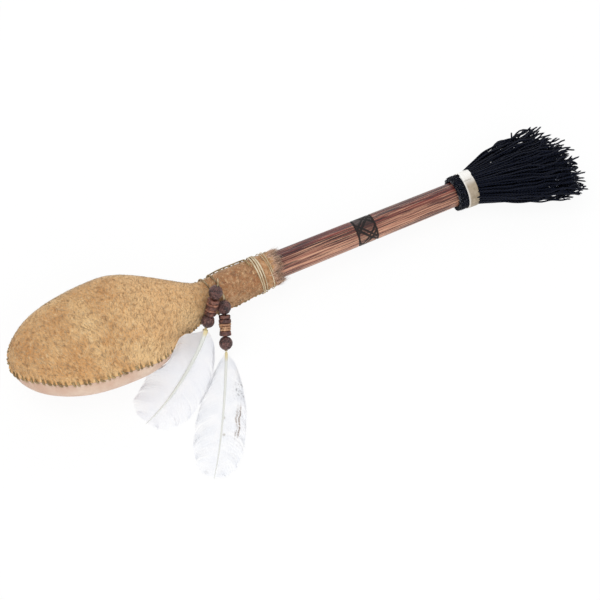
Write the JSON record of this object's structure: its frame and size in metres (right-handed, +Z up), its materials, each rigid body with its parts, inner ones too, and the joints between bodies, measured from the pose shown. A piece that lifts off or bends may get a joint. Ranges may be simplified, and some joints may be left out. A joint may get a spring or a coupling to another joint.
{
  "type": "hide rattle",
  "caption": "Hand rattle with a sewn egg-shaped hide head of pebbles on a round wooden stick, swinging bead and feather pendants at its neck and a swaying cord tassel",
  "frame": {"origin": "on the small flat of the belly that the head rests on, under the widest part of the head", "axes": "+X runs from the head to the tassel, +Z is up with the bare hide down, and the pendants lie on the -Y side"},
  "size_m": [0.445, 0.1711, 0.0511],
  "materials": {
    "palm_wood": "varnished, fibrous grain",
    "hair_hide": "matt, short hair left on",
    "bare_hide": "smooth bare rawhide",
    "thread": "dark twisted thread",
    "sinew": "dried sinew and rawhide strip",
    "string": "plain plant-fibre string",
    "dark_bead": "dark, rough and unvarnished",
    "pale_bead": "pale, matt",
    "feather": "white feather with a few brown marks",
    "tassel_cord": "black twisted cord",
    "pebble": "water-worn"
  },
  "bodies": {
    "rattle": {"handle_stick": "palm_wood", "upper_hide": "hair_hide", "lower_hide": "bare_hide", "seam_lacing": "thread", "neck_binding": "sinew", "neck_cord": "string", "tassel_cord_heads": "tassel_cord", "tassel_band": "sinew"},
    "left_pendant": {"left_string": "string", "left_upper_bead": "dark_bead", "left_disc_1": "dark_bead", "left_disc_2": "pale_bead", "left_disc_3": "dark_bead", "left_disc_4": "pale_bead", "left_disc_5": "dark_bead", "left_lower_bead": "dark_bead"},
    "left_plume": {"left_feather": "feather"},
    "right_pendant": {"right_string": "string", "right_upper_bead": "dark_bead", "right_disc_1": "dark_bead", "right_disc_2": "dark_bead", "right_disc_3": "pale_bead", "right_disc_4": "pale_bead", "right_disc_5": "pale_bead", "right_disc_6": "dark_bead", "right_lower_bead": "dark_bead"},
    "right_plume": {"right_feather": "feather"},
    "tassel": {"tassel_cords_far": "tassel_cord", "tassel_cords_upper": "tassel_cord", "tassel_cords_near": "tassel_cord", "tassel_cords_lower": "tassel_cord"},
    "rattler_01": {"pebble_01": "pebble"},
    "rattler_02": {"pebble_02": "pebble"},
    "rattler_03": {"pebble_03": "pebble"},
    "rattler_04": {"pebble_04": "pebble"},
    "rattler_05": {"pebble_05": "pebble"},
    "rattler_06": {"pebble_06": "pebble"},
    "rattler_07": {"pebble_07": "pebble"},
    "rattler_08": {"pebble_08": "pebble"},
    "rattler_09": {"pebble_09": "pebble"},
    "rattler_10": {"pebble_10": "pebble"},
    "rattler_11": {"pebble_11": "pebble"},
    "rattler_12": {"pebble_12": "pebble"}
  },
  "joints": [
    {"name": "left_pendant_swing", "type": "hinge", "parent": "rattle", "child": "left_pendant", "pos_m": [0.0792, -0.00559, 0.03305], "axis": [-1, 0, 0], "range_deg": [0, 80]},
    {"name": "left_feather_swing", "type": "hinge", "parent": "left_pendant", "child": "left_plume", "pos_m": [0.05963, -0.0251, 0.01571], "axis": [-0.5455, 0.8381, 0], "range_deg": [-40, 0]},
    {"name": "right_pendant_swing", "type": "hinge", "parent": "rattle", "child": "right_pendant", "pos_m": [0.0792, -0.01113, 0.03089], "axis": [-0.5, 0, 0.866], "range_deg": [0, 60]},
    {"name": "right_feather_swing", "type": "hinge", "parent": "right_pendant", "child": "right_plume", "pos_m": [0.06677, -0.04238, 0.005], "axis": [-0.8614, 0.5079, 0], "range_deg": [-30, 45]},
    {"name": "tassel_sway", "type": "hinge", "parent": "rattle", "child": "tassel", "pos_m": [0.2864, 0, 0.0136], "axis": [0, 0, 1], "range_deg": [-20, 20], "deforming": ["tassel_cords_far", "tassel_cords_upper", "tassel_cords_near", "tassel_cords_lower"]},
    {"name": "pebble_01_flight", "type": "slide", "parent": "rattle", "child": "rattler_01", "axis": [0, 0, 1], "range_m": [0, 0.04]},
    {"name": "pebble_02_flight", "type": "slide", "parent": "rattle", "child": "rattler_02", "axis": [0, 0, 1], "range_m": [0, 0.038]},
    {"name": "pebble_03_flight", "type": "slide", "parent": "rattle", "child": "rattler_03", "axis": [0, 0, 1], "range_m": [0, 0.0395]},
    {"name": "pebble_04_flight", "type": "slide", "parent": "rattle", "child": "rattler_04", "axis": [0, 0, 1], "range_m": [0, 0.0395]},
    {"name": "pebble_05_flight", "type": "slide", "parent": "rattle", "child": "rattler_05", "axis": [0, 0, 1], "range_m": [0, 0.03475]},
    {"name": "pebble_06_flight", "type": "slide", "parent": "rattle", "child": "rattler_06", "axis": [0, 0, 1], "range_m": [0, 0.039]},
    {"name": "pebble_07_flight", "type": "slide", "parent": "rattle", "child": "rattler_07", "axis": [0, 0, 1], "range_m": [0, 0.035]},
    {"name": "pebble_08_flight", "type": "slide", "parent": "rattle", "child": "rattler_08", "axis": [0, 0, 1], "range_m": [0, 0.03225]},
    {"name": "pebble_09_flight", "type": "slide", "parent": "rattle", "child": "rattler_09", "axis": [0, 0, 1], "range_m": [0, 0.0375]},
    {"name": "pebble_10_flight", "type": "slide", "parent": "rattle", "child": "rattler_10", "axis": [0, 0, 1], "range_m": [0, 0.03125]},
    {"name": "pebble_11_flight", "type": "slide", "parent": "rattle", "child": "rattler_11", "axis": [0, 0, 1], "range_m": [0, 0.03225]},
    {"name": "pebble_12_flight", "type": "slide", "parent": "rattle", "child": "rattler_12", "axis": [0, 0, 1], "range_m": [0, 0.0315]}
  ]
}
